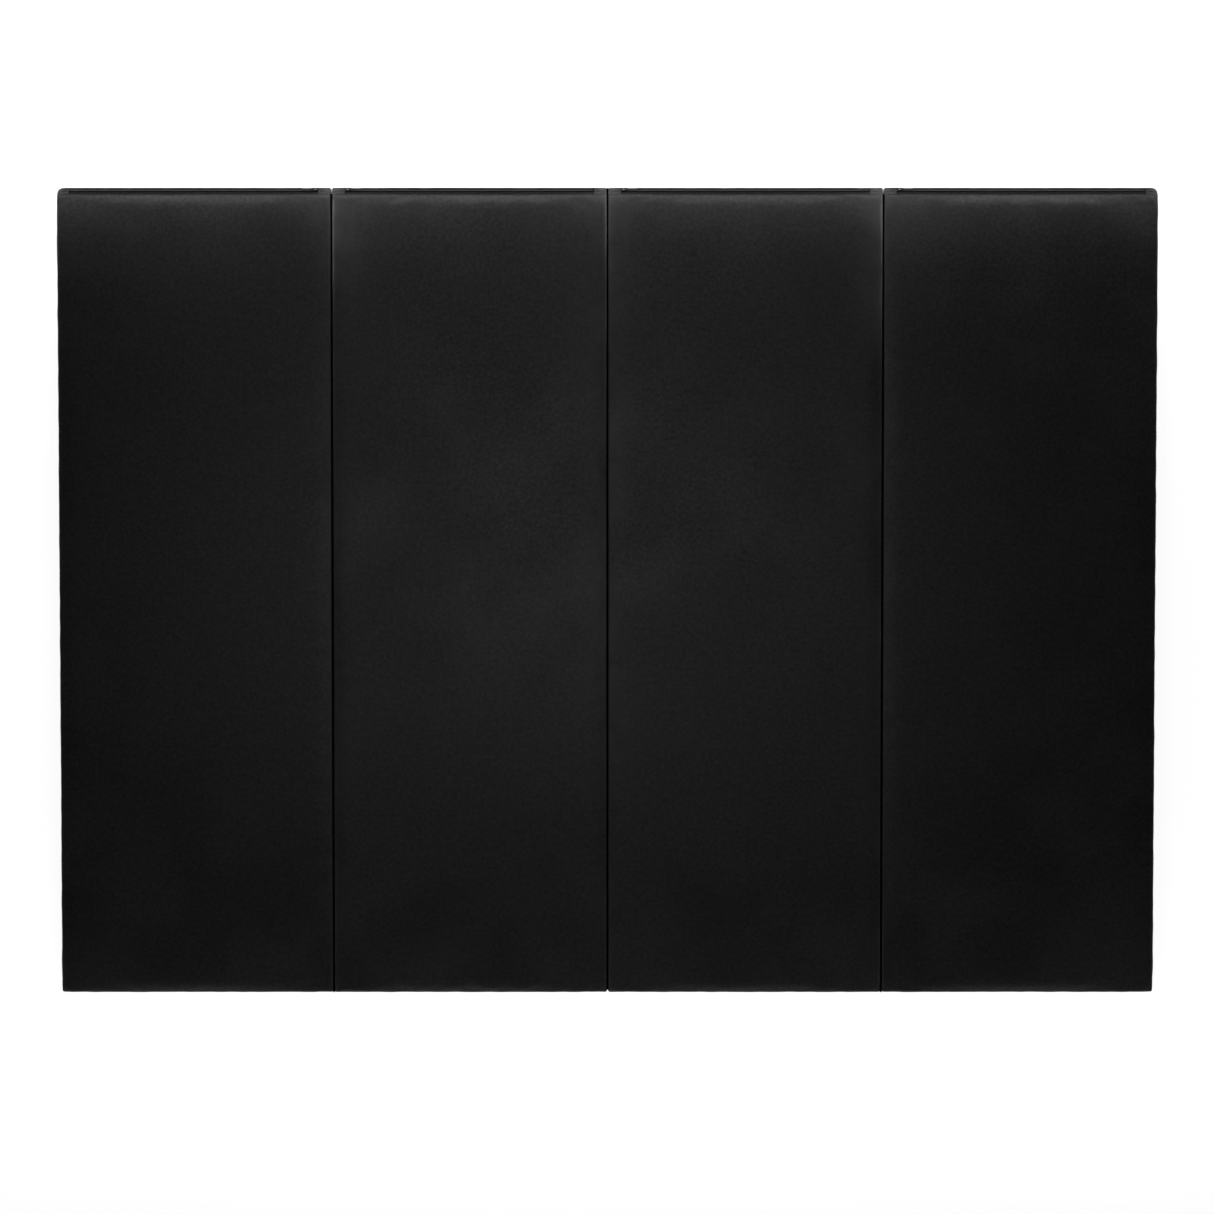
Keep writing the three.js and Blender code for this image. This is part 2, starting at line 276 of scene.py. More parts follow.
FACE, UNDER, SIDE_GUSSET, ZIP_LOWER, ZIP_UPPER, ZIP_GAP = range(6)

RIM_STEPS = (0, 3, 7, 12, 19, 27, 37, 50)  # mm from an edge: the grid is closest there
GRID_PITCH = 22 * MM
SEAM_ROWS = (0, 3, 7.5, 12)  # mm from the top or bottom edge, down or up the wall
ZIP_ROWS = 5


def graded(length, pitch):
    """Positions from 0 to length, close together near both ends."""
    rim = scaled(RIM_STEPS)
    middle = length - 2 * rim[-1]
    cells = round(middle / pitch)
    inner = [rim[-1] + middle * i / cells for i in range(1, cells)]
    return np.array(rim + inner + [length - r for r in reversed(rim)])


def wall_rows(height, zip_low, zip_high):
    """Heights up the wall: close at the seams, with rows on the zip opening's edges."""
    low = scaled(SEAM_ROWS)
    band = list(np.linspace(zip_low, zip_high, ZIP_ROWS))
    return np.array(low + band + [height - r for r in reversed(low)])


def lattice(xs, ys, zs, zip_ends, zip_edges):
    """The surface of a box as a quad grid.

    Returns its points, their places in the grid, its faces and the part of the cover that each is in.
    """
    nx, ny, nz = len(xs) - 1, len(ys) - 1, len(zs) - 1
    index = {}
    for i in range(nx + 1):
        for j in range(ny + 1):
            inside = 0 < i < nx and 0 < j < ny
            for k in (0, nz) if inside else range(nz + 1):
                index[i, j, k] = len(index)
    places = np.array(list(index))
    points = np.column_stack([xs[places[:, 0]], ys[places[:, 1]], zs[places[:, 2]]])
    faces, parts = [], []

    def add(part, *corners):
        faces.append([index[c] for c in corners])
        parts.append(part)

    for i in range(nx):
        for j in range(ny):
            add(FACE, (i, j, nz), (i + 1, j, nz), (i + 1, j + 1, nz), (i, j + 1, nz))
            add(UNDER, (i, j, 0), (i, j + 1, 0), (i + 1, j + 1, 0), (i + 1, j, 0))
    for k in range(nz):
        for j in range(ny):
            add(SIDE_GUSSET, (0, j, k), (0, j, k + 1), (0, j + 1, k + 1), (0, j + 1, k))
            add(SIDE_GUSSET, (nx, j, k), (nx, j + 1, k), (nx, j + 1, k + 1), (nx, j, k + 1))
        middle = (zs[k] + zs[k + 1]) / 2
        beside = ZIP_GAP
        if middle < zip_edges[0]:
            beside = ZIP_LOWER
        if middle > zip_edges[1]:
            beside = ZIP_UPPER
        for i in range(nx):
            add(SIDE_GUSSET, (i, 0, k), (i + 1, 0, k), (i + 1, 0, k + 1), (i, 0, k + 1))
            zipped = zip_ends[0] < (xs[i] + xs[i + 1]) / 2 < zip_ends[1]
            part = beside if zipped else SIDE_GUSSET
            add(part, (i, ny, k), (i, ny, k + 1), (i + 1, ny, k + 1), (i + 1, ny, k))
    return points, places, faces, np.array(parts)


def strip_faces(rows, across):
    """Quads over a sheet of points that lie row after row, with that many across each row."""
    return [
        (r * across + c, r * across + c + 1, (r + 1) * across + c + 1, (r + 1) * across + c)
        for r in range(rows - 1)
        for c in range(across - 1)
    ]


def mesh_of(name, points, faces, parts=None):
    mesh = bpy.data.meshes.new(name)
    mesh.from_pydata([tuple(p) for p in points], [], faces)
    if parts is not None:
        mesh.attributes.new("part", "INT", "FACE").data.foreach_set("value", parts.astype(np.int32))
    mesh.polygons.foreach_set("use_smooth", [True] * len(mesh.polygons))
    mesh.update()
    return mesh


def object_of(name, mesh, material=None):
    made = bpy.data.objects.new(name, mesh)
    bpy.context.scene.collection.objects.link(made)
    if material is not None:
        mesh.materials.append(material)
    return made


def coordinates(mesh):
    flat = np.empty(len(mesh.vertices) * 3, np.float32)
    mesh.vertices.foreach_get("co", flat)
    return flat.reshape(-1, 3).astype(float)


def normals(mesh):
    flat = np.empty(len(mesh.vertices) * 3, np.float32)
    mesh.vertex_normals.foreach_get("vector", flat)
    return flat.reshape(-1, 3).astype(float)


def set_coordinates(mesh, points):
    mesh.vertices.foreach_set("co", points.astype(np.float32).ravel())
    mesh.update()


def applied(made):
    """The object's mesh with its modifiers applied, as a plain mesh."""
    evaluated = made.evaluated_get(bpy.context.evaluated_depsgraph_get())
    return bpy.data.meshes.new_from_object(evaluated)


def saturate(amount, cap):
    """amount, levelling off at cap."""
    return cap * np.tanh(amount / cap)


# ---- rounding -----------------------------------------------------------------------------------

EDGE_RADIUS = 3.0 * MM
FACE_CORNER = 2 * MM  # plan radius at the top seam, where the corners are nearly square
OUTER_CORNER = 13 * MM  # plan radius of the wall below it, at the mat's four outer corners
SLOT_CORNER = 2.5 * MM  # and beside the fold slots
SQUARE_SHARE = 0.2  # the share of the wall's height over which the corners go from square to round
TINY = 1e-9


def onto_arc(a, b):
    """By how much to scale an offset (a, b) from a corner's centre, so that a square becomes a circle."""
    length = np.hypot(a, b)
    return np.where(length > TINY, np.maximum(a, b) / np.maximum(length, TINY), 1.0)


def round_edges(points, low, high, radius=EDGE_RADIUS):
    """Rounds the box's horizontal edges: points near one move onto an arc from face to wall."""
    inner = np.clip(points, low + radius, high - radius)
    offset = points - inner
    out = np.abs(offset[:, :2]).max(axis=1)
    up = np.abs(offset[:, 2])
    return inner + offset * onto_arc(out, up)[:, None]


def round_corners(points, low, high, left_radius, right_radius):
    """Rounds the vertical corners in plan: nearly square under the face, and round from there down."""
    depth = (high[2] - points[:, 2]) / (high[2] - low[2])
    below = np.clip(depth / SQUARE_SHARE, 0, 1)
    wall_radius = np.where(points[:, 0] < (low[0] + high[0]) / 2, left_radius, right_radius)
    radius = FACE_CORNER + (wall_radius - FACE_CORNER) * np.sqrt(below)
    inner = np.clip(points[:, :2], low[:2] + radius[:, None], high[:2] - radius[:, None])
    offset = points[:, :2] - inner
    share = onto_arc(np.abs(offset[:, 0]), np.abs(offset[:, 1]))
    rounded = points.copy()
    rounded[:, :2] = inner + offset * share[:, None]
    return rounded


# ---- the cover's shape --------------------------------------------------------------------------

FACE_SWELL = 2.8 * MM  # how far the face stands above its seams
UNDER_SWELL = 2.6 * MM
END_SWELL = 4.5 * MM
ZIP_RECESS = 0.5 * MM  # how far the zip's opening sits behind the wall before it swells
SIDE_SWELL = 2.5 * MM  # the two outer long walls
SLOT_SWELL = 0.2 * MM  # the walls in the fold slots, which press on each other
SLOT_SEAM_OUTSET = 1.0 * MM  # they are a little closer than the CAD walls
SEAM_DIP = 0.5 * MM  # how far the cover may draw in beside a seam
END_SEAM_OUTSET = 2.5 * MM  # the underside reaches a little past the CAD end wall
END_LEAN = 6.5 * MM  # how far the end walls lean in from the floor up to the face
SIDE_SEAM_INSET = 0.8 * MM

CORNER_FILL = 3.0  # the foam's square corners push the face up more than air would
CORNER_REACH = 50 * MM
CREEP = 1.5 * MM  # how far the cover may slide along itself
FLAT_ENOUGH = 0.7  # a normal's share of Z, from which a point counts as on the face or the underside

SIM_FRAMES = 14
NEARLY = 0.001 * MM

# For a long wall: how far it swells, how far its seams sit in from the CAD wall, and its corner radius.
OUTER_SIDE = (SIDE_SWELL, SIDE_SEAM_INSET, OUTER_CORNER)
SLOT_SIDE = (SLOT_SWELL, -SLOT_SEAM_OUTSET, SLOT_CORNER)


def side_facts(n):
    """The facts of the panel's wall at -X, and of its wall at +X."""
    left = OUTER_SIDE if n == PANELS[0] else SLOT_SIDE
    right = OUTER_SIDE if n == PANELS[-1] else SLOT_SIDE
    return left, right


def start_box(n):
    """The slack cover's box: the seams' own outline, before it swells."""
    low, high = (np.array(c) for c in panel_box(n))
    (_, left, _), (_, right, _) = side_facts(n)
    low += (left, -END_SEAM_OUTSET, UNDER_SWELL)
    high -= (right, -END_SEAM_OUTSET, FACE_SWELL)
    return low, high


def lean_ends(points, low, high):
    """Draws the ends in towards the face, so that each end wall leans back a little."""
    up = (points[:, 2] - low[2]) / (high[2] - low[2])
    middle = (low[1] + high[1]) / 2
    shorter = 1 - END_LEAN * np.clip(up, 0, 1) / (high[1] - middle)
    leaning = points.copy()
    leaning[:, 1] = middle + (points[:, 1] - middle) * shorter
    return leaning


def slack_cover(n):
    """The cover before it swells, with the points that its seams and zip hold still."""
    low, high = start_box(n)
    zip_low, zip_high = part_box(f"zip_tape_{n}")
    xs = low[0] + graded(high[0] - low[0], GRID_PITCH)
    ys = low[1] + graded(high[1] - low[1], GRID_PITCH)
    xs[np.abs(xs - zip_low.x).argmin()] = zip_low.x
    xs[np.abs(xs - zip_high.x).argmin()] = zip_high.x
    zs = low[2] + wall_rows(high[2] - low[2], zip_low.z - low[2], zip_high.z - low[2])
    points, places, faces, parts = lattice(xs, ys, zs, (zip_low.x, zip_high.x), (zip_low.z, zip_high.z))
    (_, _, left_radius), (_, _, right_radius) = side_facts(n)
    shaped = round_corners(round_edges(points, low, high), low, high, left_radius, right_radius)
    shaped = lean_ends(shaped, low, high)
    last = places.max(axis=0)
    walls = (places[:, 0] % last[0] == 0) | (places[:, 1] % last[1] == 0)
    seam = walls & (places[:, 2] % last[2] == 0)
    zipped = places[:, 1] == last[1]
    for axis in (0, 2):
        zipped &= (points[:, axis] > zip_low[axis] - NEARLY) & (points[:, axis] < zip_high[axis] + NEARLY)
    shaped[zipped, 1] -= ZIP_RECESS
    cover = object_of(f"slack_{n}", mesh_of(f"slack_{n}", shaped, faces, parts))
    return cover, seam | zipped


CLOTH = {
    "mass": 0.02,
    "tension_stiffness": 60.0,
    "compression_stiffness": 60.0,
    "shear_stiffness": 30.0,
    "bending_stiffness": 0.5,
    "quality": 4,
    "use_pressure": True,
    "uniform_pressure_force": 3.0,
    "shrink_min": -0.004,
}


def swell(cover, held):
    """Where the cover's points go when it is run as cloth with air in it, held at its seams and zip."""
    group = cover.vertex_groups.new(name="held")
    group.add([int(i) for i in np.flatnonzero(held)], 1.0, "REPLACE")
    cloth = cover.modifiers.new("cloth", "CLOTH")
    for key, value in CLOTH.items():
        setattr(cloth.settings, key, value)
    cloth.settings.vertex_group_mass = group.name
    cloth.settings.effector_weights.gravity = 0.0
    cloth.collision_settings.use_collision = False
    cloth.point_cache.frame_start = 1
    cloth.point_cache.frame_end = SIM_FRAMES
    for step in range(1, SIM_FRAMES + 1):
        bpy.context.scene.frame_set(step)
    moved = coordinates(applied(cover))
    cover.modifiers.remove(cloth)
    bpy.context.scene.frame_set(1)
    return moved


def noise_at(points, wavelength, seed):
    """Smooth noise from about -1 to 1; wavelength is one number, or one for each axis."""
    shift = Vector((13.7 * seed, -7.3 * seed, 5.9 * seed))
    return np.array([noise.noise(Vector(p) + shift) for p in points / wavelength])


def fade(distance, reach):
    return np.exp(-np.maximum(distance, 0) / reach)


def seam_distances(n, points):
    """How far each point is from the nearest side seam (in x) and end seam (in y)."""
    low, high = start_box(n)
    side = np.minimum(points[:, 0] - low[0], high[0] - points[:, 0])
    end = np.minimum(points[:, 1] - low[1], high[1] - points[:, 1])
    return np.maximum(side, 0), np.maximum(end, 0)


def settle(n, start, moved, outward):
    """Limits how far each point has moved: the foam inside stops the cover going further."""
    (left, _, _), (right, _, _) = side_facts(n)
    side = np.where(outward[:, 0] < 0, left, right)
    ends = np.full(len(start), END_SWELL)
    level = np.where(outward[:, 2] > 0, FACE_SWELL, UNDER_SWELL)
    cap = np.sqrt(((outward * np.column_stack([side, ends, level])) ** 2).sum(axis=1))
    drift = moved - start
    fuller = 1 + CORNER_FILL * fade(np.hypot(*seam_distances(n, start)), CORNER_REACH)
    along = (drift * outward).sum(axis=1) * np.where(np.abs(outward[:, 2]) > FLAT_ENOUGH, fuller, 1)
    across = drift - along[:, None] * outward
    length = np.maximum(np.linalg.norm(across, axis=1), TINY)
    kept = np.minimum(1.0, CREEP / length)
    bulge = np.where(along > 0, saturate(along, cap), saturate(along, np.minimum(cap, SEAM_DIP)))
    return start + outward * bulge[:, None] + across * kept[:, None]


def smooth_cover(n):
    """The swollen cover of a panel, subdivided once and with its fine creases, as a closed mesh."""
    cover, held = slack_cover(n)
    start = coordinates(cover.data)
    outward = normals(cover.data)
    moved = swell(cover, held)
    set_coordinates(cover.data, settle(n, start, moved, outward))
    subdivide = cover.modifiers.new("subdivide", "SUBSURF")
    subdivide.levels = 1
    shape = applied(cover)
    bpy.data.objects.remove(cover)
    set_coordinates(shape, creased(n, coordinates(shape), normals(shape)))
    paint_wear_and_light(n, shape)
    return shape


# ---- creases ------------------------------------------------------------------------------------

END_DROP = 2.0 * MM  # how far the face bends down where it goes over an end edge
END_DROP_REACH = 13 * MM
CLOUD = 0.25 * MM  # slow rise and fall of the whole cover
RIPPLE = 0.06 * MM
PUCKER = 0.75 * MM  # short creases where the cover is drawn over an end edge
SIDE_PUCKER = 0.35 * MM
GATHER = 1.3 * MM  # folds that run out from each end of the zip
FLOOR_CLEARANCE = 0.1 * MM
FOLD_ROOM = 0.3 * MM  # how far a face may stand above the CAD face and still fold flat on its neighbour


def zip_gathers(n, points):
    """Folds on the wall that fan out from each end of the zip."""
    zip_low, zip_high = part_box(f"zip_tape_{n}")
    level = (zip_low.z + zip_high.z) / 2
    folds = np.zeros(len(points))
    for end, side in ((zip_low.x, -1), (zip_high.x, 1)):
        dx = (points[:, 0] - end) * side
        dz = points[:, 2] - level
        reach = np.hypot(dx, dz)
        angle = np.arctan2(dz, np.maximum(dx, 0) + MM)
        beside = np.clip(dx / (6 * MM) + 0.5, 0, 1)
        folds += np.cos(5 * angle + 0.6) * beside * fade(np.abs(reach - 9 * MM), 7 * MM)
    by_the_zip = np.clip((points[:, 1] - (zip_high.y - 20 * MM)) / (10 * MM), 0, 1)
    return folds * by_the_zip


def creased(n, points, outward):
    """The cover with its slow undulation, the puckers along its edges and the gathers at the zip."""
    side, end = seam_distances(n, points)
    (left, _, _), (right, _, _) = side_facts(n)
    to_side = np.clip(np.abs(outward[:, 0]), 0, 1)
    free = np.where(outward[:, 0] < 0, left, right) / SIDE_SWELL
    freedom = 1 - to_side * (1 - np.minimum(free, 1))
    corner = np.hypot(side, end)
    flat = np.abs(outward[:, 2])
    height = CLOUD * noise_at(points, 0.22, n) + RIPPLE * noise_at(points, 0.07, n + 10)
    along_end = noise_at(points, np.array([0.020, 0.045, 0.05]), n + 20)
    along_side = noise_at(points, np.array([0.04, 0.030, 0.05]), n + 30)
    near_corner = 1 + 0.9 * fade(corner, 70 * MM)
    height += PUCKER * along_end * fade(end, 22 * MM) * (1 - fade(end, 6 * MM)) * near_corner * flat
    height += SIDE_PUCKER * along_side * fade(side, 18 * MM) * (1 - fade(side, 6 * MM)) * near_corner * flat
    height += 0.5 * PUCKER * along_end * (1 - flat)
    height *= freedom
    height += GATHER * zip_gathers(n, points)
    bent = points + outward * height[:, None]
    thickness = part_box(f"cover_top_{n}")[1].z
    upper = np.clip((points[:, 2] / thickness - 0.6) / 0.3, 0, 1)
    bent[:, 2] -= END_DROP * fade(end, END_DROP_REACH) * upper
    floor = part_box(f"cover_bottom_{n}")[0].z + FLOOR_CLEARANCE
    bent[:, 2] = np.maximum(bent[:, 2], floor)
    bent[:, 2] = np.minimum(bent[:, 2], thickness + FOLD_ROOM)
    return bent


# ---- wear and painted light ---------------------------------------------------------------------

FOLD_SHEEN_REACH = 40 * MM  # how far from a fold the painted sheen reaches
FOLD_SHEEN_FROM = -0.3  # the y where the painted sheen beside the folds begins to die away towards the near end, and how far it dies away from there
FOLD_SHEEN_FADE = 0.35
FOLD_SHEEN = {1: 0.15, 2: 1.0, 3: 1.0, 4: 0.15}  # how much painted sheen each panel has beside its folds: most by the middle fold
FOLD_HIGHLIGHT = {1: (0, 0.4), 2: (1.2, 1.3), 3: (0.3, 1.3), 4: (0.3, 0)}  # strength of the painted highlight on each panel's fold edges at -X and +X


def fold_distance(n, points):
    """How far each point is from the nearest fold (in x): the outer edges of the mat are not folds."""
    low, high = start_box(n)
    left = points[:, 0] - low[0] if n > PANELS[0] else np.full(len(points), np.inf)
    right = high[0] - points[:, 0] if n < PANELS[-1] else np.full(len(points), np.inf)
    return np.maximum(np.minimum(left, right), 0)


def paint_wear_and_light(n, shape):
    """Says how worn and how lit each point is: rubbed seams, painted sheen in patches by the folds, painted
    glints at the far corners, and most, a painted highlight on the folds' edges.
    """
    points = coordinates(shape)
    low, high = start_box(n)
    side, _ = seam_distances(n, points)
    level = np.minimum(points[:, 2] - low[2], high[2] - points[:, 2])
    far = np.maximum(high[1] - points[:, 1], 0)
    # Rubbed seam edges, kept to the folds and the far end; along the far edge the lighter colour is also a
    # painted highlight
    edges = 0.4 * fade(np.minimum(side, far), 3 * MM) * fade(level, 4 * MM)
    fold = fold_distance(n, points)
    # Painted sheen: patches lighter beside the folds, over the length where the softbox shows
    upper_share = fade(np.maximum(FOLD_SHEEN_FROM - points[:, 1], 0), FOLD_SHEEN_FADE)
    sheen_patches = upper_share * fade(fold, FOLD_SHEEN_REACH) * np.clip(0.5 + noise_at(points, 0.2, n + 40), 0.1, 1)
    # Painted glints at the far corners beside the folds, which also strengthen the painted fold highlight
    corners = fade(fold, 2 * FOLD_SHEEN_REACH) * fade(far, 4 * FOLD_SHEEN_REACH)
    patchy = np.clip(0.8 + 0.4 * noise_at(points, 0.03, n + 50), 0, 1)
    rubbed_and_lit = np.clip(edges + FOLD_SHEEN[n] * sheen_patches + 0.5 * corners, 0, 1) * patchy
    # Painted highlight on the fold edges, one side of each slot brighter than the other
    at_left, at_right = FOLD_HIGHLIGHT[n]
    strength = np.where(points[:, 0] < (low[0] + high[0]) / 2, at_left, at_right)
    painted_highlight = strength * np.clip(0.6 + noise_at(points, 0.4, n + 60) + 3 * corners, 0, 2)
    rubbed_and_lit += painted_highlight * fade(fold, 2.5 * MM) * fade(level, 5 * MM)
    wear_and_painted_light = shape.attributes.new("wear_and_painted_light", "FLOAT", "POINT")
    wear_and_painted_light.data.foreach_set("value", rubbed_and_lit.astype(np.float32))


# ---- pieces -------------------------------------------------------------------------------------

SHEET_THICKNESS = 0.9 * MM


def place(piece, body, slot, *stands_for):
    """Says what the piece moves with and which CAD nodes it stands for; slot, whose finish it takes, is not
    used.
    """
    if body is not None:
        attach(piece, body)
    if stands_for:
        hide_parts(*stands_for)
    return piece


def cut_from(shape, part, name, material):
    """One sheet of the cover: the faces of that part, thickened inward."""
    sheet = bmesh.new()
    sheet.from_mesh(shape)
    label = sheet.faces.layers.int["part"]
    others = [f for f in sheet.faces if f[label] != part]
    bmesh.ops.delete(sheet, geom=others, context="FACES")
    mesh = bpy.data.meshes.new(name)
    sheet.to_mesh(mesh)
    sheet.free()
    piece = object_of(name, mesh, material)
    thicken = piece.modifiers.new("thickness", "SOLIDIFY")
    thicken.thickness = SHEET_THICKNESS
    thicken.offset = -1
    return piece


def cover_panel(n):
    """The five sheets that a panel's cover is sewn from."""
    shape = smooth_cover(n)
    low, high = panel_box(n)
    width, depth, height = high - low
    zip_low, zip_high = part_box(f"zip_tape_{n}")
    zip_length = zip_high.x - zip_low.x
    hem_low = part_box(f"zip_gusset_lower_{n}")
    hem_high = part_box(f"zip_gusset_upper_{n}")
    sheets = (
        (FACE, "cover_top", VINYL, (width, depth)),
        (UNDER, "cover_bottom", VINYL, (width, depth)),
        (SIDE_GUSSET, "side_gusset", GUSSET_VINYL, (height, 2 * depth + 2 * width - zip_length)),
        (ZIP_LOWER, "zip_gusset_lower", MATTE_VINYL, (hem_low[1].z - hem_low[0].z, zip_length)),
        (ZIP_UPPER, "zip_gusset_upper", MATTE_VINYL, (hem_high[1].z - hem_high[0].z, zip_length)),
    )
    pieces = {}
    for part, node, material, flat in sheets:
        piece = cut_from(shape, part, f"{node}_sheet_{n}", material)
        place(piece, f"panel_{n}", "cover_vinyl", f"{node}_{n}")
        pieces[part] = piece
    return pieces


# ---- foam ---------------------------------------------------------------------------------------

FOAM_INSET = 4.0 * MM
FOAM_PITCH = 60 * MM
FOAM_RADIUS = 5 * MM
SAW_MARKS = 0.15 * MM


def foam_slab(n, name, low, high):
    """A slab of foam with rounded edges and faint saw marks, its ends cut to the walls' lean."""
    xs = low[0] + graded(high[0] - low[0], FOAM_PITCH)
    ys = low[1] + graded(high[1] - low[1], FOAM_PITCH)
    zs = np.linspace(low[2], high[2], 6)
    nowhere = (1.0, 0.0)
    points, _, faces, _ = lattice(xs, ys, zs, nowhere, nowhere)
    shaped = round_corners(round_edges(points, low, high, FOAM_RADIUS), low, high, FOAM_RADIUS, FOAM_RADIUS)
    shaped = lean_ends(shaped, *start_box(n))
    mesh = mesh_of(name, shaped, faces)
    marks = SAW_MARKS * (noise_at(shaped, np.array([0.3, 0.02, 0.3]), n) - 1)
    set_coordinates(mesh, shaped + normals(mesh) * marks[:, None])
    return object_of(name, mesh, FOAM)


def fill_panel(n):
    """The two slabs of foam glued face to face inside the cover."""
    low, high = start_box(n)
    split_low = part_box(f"foam_lower_{n}")[1].z
    split_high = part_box(f"foam_upper_{n}")[0].z
    inset = FOAM_INSET * np.array([1, 1, 0.4])
    low, high = low + inset, high - inset
    halves = (
        ("foam_lower", low, np.array([high[0], high[1], split_low])),
        ("foam_upper", np.array([low[0], low[1], split_high]), high),
    )
    for node, start, end in halves:
        slab = foam_slab(n, f"{node}_slab_{n}", start, end)
        place(slab, f"panel_{n}", "core_foam", f"{node}_{n}")


# ---- zips ---------------------------------------------------------------------------------------

TAPE_THICKNESS = 0.8 * MM
TAPE_LAP = 2.0 * MM  # how far the tape runs under each hem and past each end
TAPE_DEPTH = 2.2 * MM  # how far its face sits behind the CAD wall
TAPE_COLUMNS = 140
TAPE_ROWS = 9
TOOTH_PITCH = 2.6 * MM
TOOTH_WIDTH = 1.7 * MM
TOOTH_REACH = 2.9 * MM
TOOTH_STATIONS = ((-0.30, 0.80), (0.15, 1.0), (0.60, 0.72), (1.0, 0.62))  # shares of reach and of width
TOOTH_SIDES = 8
TOOTH_OVERLAP = 0.85  # where a tooth's tip lies past the middle of the chain, as a share of its reach
TOOTH_SQUARENESS = 0.6
STITCH_LENGTH = 3.4 * MM
STITCH_PITCH = 4.6 * MM
STITCH_RADIUS = 0.32 * MM
STITCH_SIDES = 6
STITCH_RINGS = 6
HEM_TO_STITCH = 3.0 * MM
METAL_EDGE = 0.25 * MM
SHARP = math.radians(40)


def zip_face(n):
    """The y of the tape's outer face, half way up."""
    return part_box(f"cover_top_{n}")[1].y - TAPE_DEPTH


def on_wall(n, points):
    """Zip points shifted to follow the end wall's lean."""
    low, high = start_box(n)
    zip_low, zip_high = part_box(f"zip_tape_{n}")
    above = points[:, 2] - (zip_low.z + zip_high.z) / 2
    shifted = points.copy()
    shifted[:, 1] -= END_LEAN * above / (high[2] - low[2])
    return shifted


def zip_tape(n):
    """The woven tape behind the opening, a little wavy."""
    low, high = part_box(f"zip_tape_{n}")
    xs = np.linspace(low.x - TAPE_LAP, high.x + TAPE_LAP, TAPE_COLUMNS)
    zs = np.linspace(low.z - TAPE_LAP, high.z + TAPE_LAP, TAPE_ROWS)
    grid = np.array([(x, zip_face(n), z) for x in xs for z in zs])
    grid[:, 1] += 0.25 * MM * noise_at(grid, np.array([0.03, 1.0, 0.012]), n)
    faces = strip_faces(TAPE_COLUMNS, TAPE_ROWS)
    name = f"zip_tape_cloth_{n}"
    tape = object_of(name, mesh_of(name, on_wall(n, grid), faces), ZIP_CLOTH)
    thicken = tape.modifiers.new("thickness", "SOLIDIFY")
    thicken.thickness = TAPE_THICKNESS
    thicken.offset = -1
    return tape


def tube_faces(rings, sides):
    """Faces of a closed tube with that many rings, and an end cap on each end."""
    walls = [
        (r * sides + s, r * sides + (s + 1) % sides, (r + 1) * sides + (s + 1) % sides, (r + 1) * sides + s)
        for r in range(rings - 1)
        for s in range(sides)
    ]
    caps = [tuple(reversed(range(sides))), tuple(range((rings - 1) * sides, rings * sides))]
    return walls + caps


def repeated(name, shape, faces, offsets, material):
    """One mesh with a copy of the shape at each offset."""
    points = np.concatenate([shape + offset for offset in offsets])
    step = len(shape)
    copies = [tuple(i + c * step for i in face) for c in range(len(offsets)) for face in faces]
    return object_of(name, mesh_of(name, points, copies), material)


def squarish(value):
    """A sine or cosine that is nearer to a square wave, for a section between a circle and a square."""
    return math.copysign(abs(value) ** TOOTH_SQUARENESS, value)


def tooth(height, side):
    """One tooth of the row above (side 1) or below (side -1) the middle, with its root on the tape."""
    rings = []
    for reach, width in TOOTH_STATIONS:
        for s in range(TOOTH_SIDES):
            turn = 2 * math.pi * (s + 0.5) / TOOTH_SIDES
            across = TOOTH_WIDTH / 2 * width * squarish(math.cos(turn))
            up = height / 2 * (1 + width * squarish(math.sin(turn)))
            rings.append((across, up, side * TOOTH_REACH * (TOOTH_OVERLAP - reach)))
    return np.array(rings)


def zip_teeth(n):
    """The closed chain: two rows of teeth, each between two of the other row."""
    low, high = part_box(f"zip_tape_{n}")
    height = high.y - zip_face(n)
    middle = (low.z + high.z) / 2
    count = int((high.x - low.x) / TOOTH_PITCH) - 1
    first = np.array([low.x + TOOTH_PITCH / 2, zip_face(n) - 0.1 * MM, middle])
    pitch = np.array([TOOTH_PITCH, 0, 0])
    above = [first + i * pitch for i in range(count)]
    below = [first + (i + 0.5) * pitch for i in range(count)]
    faces = tube_faces(len(TOOTH_STATIONS), TOOTH_SIDES)
    mirrored = [face[::-1] for face in faces]
    upper = repeated(f"zip_teeth_upper_{n}", tooth(height, 1), faces, above, NYLON)
    lower = repeated(f"zip_teeth_lower_{n}", tooth(height, -1), mirrored, below, NYLON)
    return upper, lower


def stitch():
    """One stitch lying along x: a thread that rises out of the vinyl and dips back in."""
    rings = []
    for step in range(STITCH_RINGS):
        share = step / (STITCH_RINGS - 1)
        lift = STITCH_RADIUS * (1.6 * math.sin(math.pi * share) - 0.9)
        for s in range(STITCH_SIDES):
            turn = 2 * math.pi * s / STITCH_SIDES
            rings.append((
                (share - 0.5) * STITCH_LENGTH,
                lift + STITCH_RADIUS * math.sin(turn),
                STITCH_RADIUS * math.cos(turn),
            ))
    return np.array(rings)


def hem_stitches(n, name, level, hem):
    """A row of stitches along a zip gusset's hem, each on the vinyl's own surface."""
    low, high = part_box(f"zip_tape_{n}")
    surface = BVHTree.FromObject(hem, bpy.context.evaluated_depsgraph_get())
    count = int((high.x - low.x - STITCH_LENGTH) / STITCH_PITCH)
    first = low.x + STITCH_LENGTH
    offsets = []
    for i in range(count):
        x = first + i * STITCH_PITCH
        hit = surface.ray_cast(Vector((x, high.y + 0.1, level)), Vector((0, -1, 0)))[0]
        if hit is not None:
            offsets.append(np.array(hit))
    return repeated(name, stitch(), tube_faces(STITCH_RINGS, STITCH_SIDES), offsets, THREAD)


